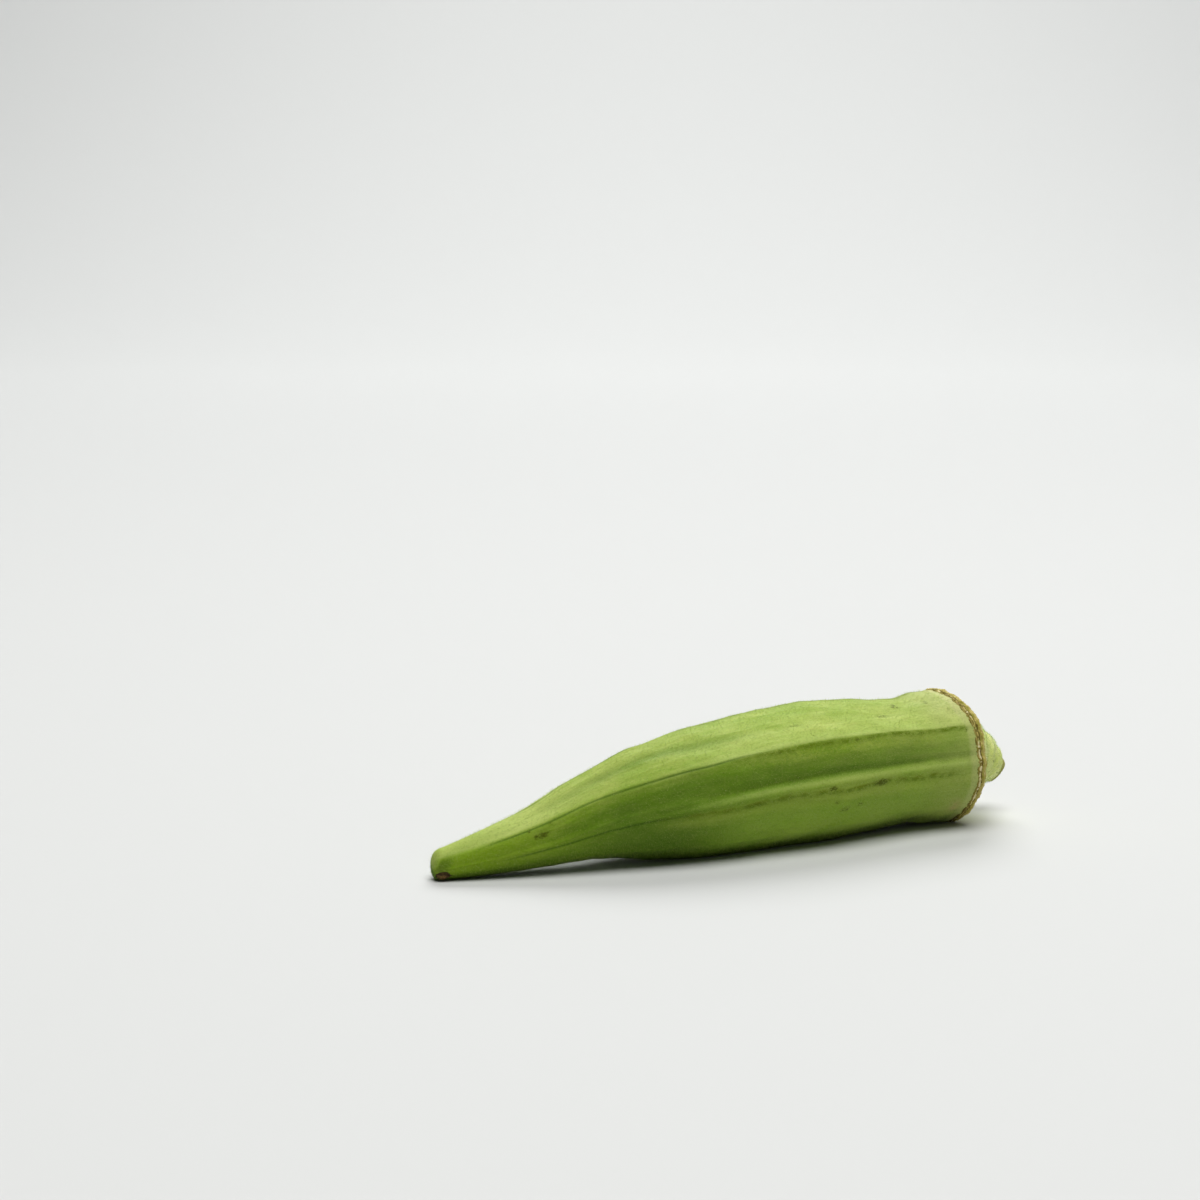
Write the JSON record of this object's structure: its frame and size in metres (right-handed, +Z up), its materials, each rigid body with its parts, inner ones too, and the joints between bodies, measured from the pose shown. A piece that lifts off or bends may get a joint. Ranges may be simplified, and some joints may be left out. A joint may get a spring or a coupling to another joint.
{
  "type": "okra pod",
  "caption": "Fresh okra pod lying on its side: a ribbed, bowed green pod with a long beak, a corky ring scar and a short cut stalk on a drooping, cone-shaped cap.",
  "frame": {"origin": "on the surface that the pod lies on, under the middle of its box", "axes": "+X from the beak towards the cut stalk, +Z up, -Y towards the side with the narrow ridge"},
  "size_m": [0.1094, 0.024, 0.0222],
  "materials": {
    "pod_skin": "waxy green skin with fine pale fuzz, darker seams along the ribs, satin",
    "cap_skin": "paler green skin with small dark specks, satin",
    "scar_cork": "dry tan and brown corky scar, matte",
    "stalk_pith": "cut stalk: cream pith in a browned, fibrous rim, matte",
    "pod_fuzz": "short translucent hairs"
  },
  "bodies": {
    "root": {"pod": "pod_skin", "stalk_cap": "cap_skin"}
  },
  "joints": []
}
